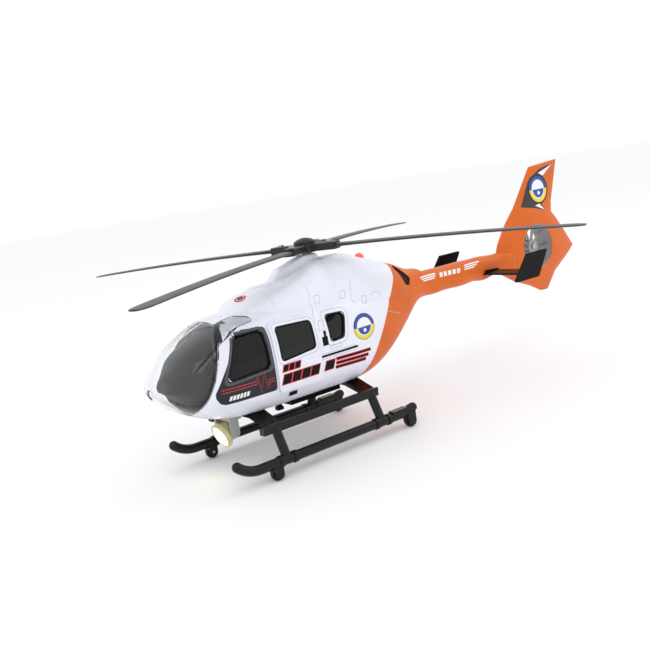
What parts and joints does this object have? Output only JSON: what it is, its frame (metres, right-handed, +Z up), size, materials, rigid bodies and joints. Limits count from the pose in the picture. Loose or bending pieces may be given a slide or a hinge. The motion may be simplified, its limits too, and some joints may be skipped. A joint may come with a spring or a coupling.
{
  "type": "toy rescue helicopter",
  "caption": "Toy rescue helicopter with a motor-driven rotor, shrouded tail fan, sliding cabin doors, tilting searchlight and skids on small wheels.",
  "frame": {"origin": "on the ground under the rotor shaft's axis", "axes": "+X towards the nose, +Y to port, +Z up along the rotor shaft"},
  "size_m": [0.6193, 0.4534, 0.2197],
  "materials": {
    "body_white": "gloss",
    "body_orange": "satin",
    "clear": "clear gloss",
    "tinted": "dark tint",
    "interior_dark": "satin",
    "seat_black": "ribbed",
    "black_plastic": "gloss",
    "skid_black": "gloss",
    "wheel_black": "satin",
    "rotor_black": "satin",
    "cell_can": "gloss",
    "spring_steel": "bright",
    "motor_steel": "satin",
    "screw_steel": "satin",
    "bush_brass": "satin",
    "gear_plastic": "natural",
    "board_green": "coated",
    "fan_grey": "satin",
    "bracket_grey": "satin",
    "lamp_grey": "bright",
    "lamp_lens": "warm",
    "red_lens": "translucent"
  },
  "bodies": {
    "airframe": {"cabin_shell_port": "body_white", "cabin_shell_starboard": "body_white", "engine_cowling": "body_white", "tail_shell_port": "body_orange", "tail_shell_starboard": "body_orange", "canopy": "clear", "cockpit_liner": "interior_dark", "interior_tub": "interior_dark", "pilot_seat": "seat_black", "copilot_seat": "seat_black", "battery_box": "black_plastic", "battery_cells": "cell_can", "battery_contacts": "spring_steel", "battery_cover": "black_plastic", "circuit_board": "board_green", "speaker": "black_plastic", "drive_motor": "motor_steel", "shaft_bushes": "bush_brass", "gearbox_frame": "gear_plastic", "fan_pin": "screw_steel", "stabilizer": "black_plastic", "end_plate_port": "black_plastic", "end_plate_starboard": "black_plastic", "beacon_lens": "red_lens", "tail_light_lens": "red_lens", "skid_port": "skid_black", "skid_starboard": "skid_black", "cross_plate_front": "skid_black", "cross_plate_rear": "skid_black", "wheel_axles": "screw_steel", "body_screws": "screw_steel", "searchlight_bracket": "bracket_grey", "side_windows_port": "tinted", "side_windows_starboard": "tinted", "door_latches": "black_plastic", "door_catches": "black_plastic", "exhaust_outlets": "black_plastic"},
    "sliding_door_port": {"sliding_door_port": "body_white", "door_window_port": "tinted"},
    "sliding_door_starboard": {"sliding_door_starboard": "body_white", "door_window_starboard": "tinted"},
    "main_rotor": {"rotor_hub": "rotor_black", "rotor_shaft": "motor_steel", "rotor_gear": "gear_plastic", "hub_cap": "rotor_black", "blade_screws": "screw_steel", "rotor_blade_1": "rotor_black", "rotor_blade_2": "rotor_black", "rotor_blade_3": "rotor_black", "rotor_blade_4": "rotor_black"},
    "pinion": {"motor_pinion": "gear_plastic"},
    "tail_fan": {"tail_fan": "fan_grey"},
    "searchlight": {"searchlight_body": "lamp_grey", "searchlight_lens": "lamp_lens"},
    "switch": {"switch_knob": "black_plastic"},
    "wheel_front_port": {"wheel_front_port": "wheel_black"},
    "wheel_front_starboard": {"wheel_front_starboard": "wheel_black"},
    "wheel_rear_port": {"wheel_rear_port": "wheel_black"},
    "wheel_rear_starboard": {"wheel_rear_starboard": "wheel_black"}
  },
  "joints": [
    {"name": "rotor_spin", "type": "hinge", "parent": "airframe", "child": "main_rotor", "pos_m": [0, 0, 0.179], "axis": [0, 0, 1], "continuous": true},
    {"name": "pinion_spin", "type": "hinge", "parent": "airframe", "child": "pinion", "pos_m": [0.021, 0, 0.143], "axis": [0, 0, 1], "continuous": true},
    {"name": "fan_spin", "type": "hinge", "parent": "airframe", "child": "tail_fan", "pos_m": [-0.317, 0, 0.1265], "axis": [0, 1, 0], "continuous": true},
    {"name": "port_door_slide", "type": "slide", "parent": "airframe", "child": "sliding_door_port", "axis": [-1, 0, 0], "range_m": [0, 0.044]},
    {"name": "starboard_door_slide", "type": "slide", "parent": "airframe", "child": "sliding_door_starboard", "axis": [-1, 0, 0], "range_m": [0, 0.044]},
    {"name": "searchlight_tilt", "type": "hinge", "parent": "airframe", "child": "searchlight", "pos_m": [0.112, 0, 0.0375], "axis": [0, 1, 0], "range_deg": [-16, 30]},
    {"name": "switch_slide", "type": "slide", "parent": "airframe", "child": "switch", "axis": [1, 0, 0], "range_m": [0, 0.003]},
    {"name": "wheel_front_port_roll", "type": "hinge", "parent": "airframe", "child": "wheel_front_port", "pos_m": [0.103, 0.0547, 0.006], "axis": [0, 1, 0], "continuous": true},
    {"name": "wheel_front_starboard_roll", "type": "hinge", "parent": "airframe", "child": "wheel_front_starboard", "pos_m": [0.103, -0.0547, 0.006], "axis": [0, 1, 0], "continuous": true},
    {"name": "wheel_rear_port_roll", "type": "hinge", "parent": "airframe", "child": "wheel_rear_port", "pos_m": [-0.05, 0.0547, 0.006], "axis": [0, 1, 0], "continuous": true},
    {"name": "wheel_rear_starboard_roll", "type": "hinge", "parent": "airframe", "child": "wheel_rear_starboard", "pos_m": [-0.05, -0.0547, 0.006], "axis": [0, 1, 0], "continuous": true}
  ],
  "couplings": [
    {"joint": "pinion_spin", "follows": "rotor_spin", "ratio": -6}
  ]
}
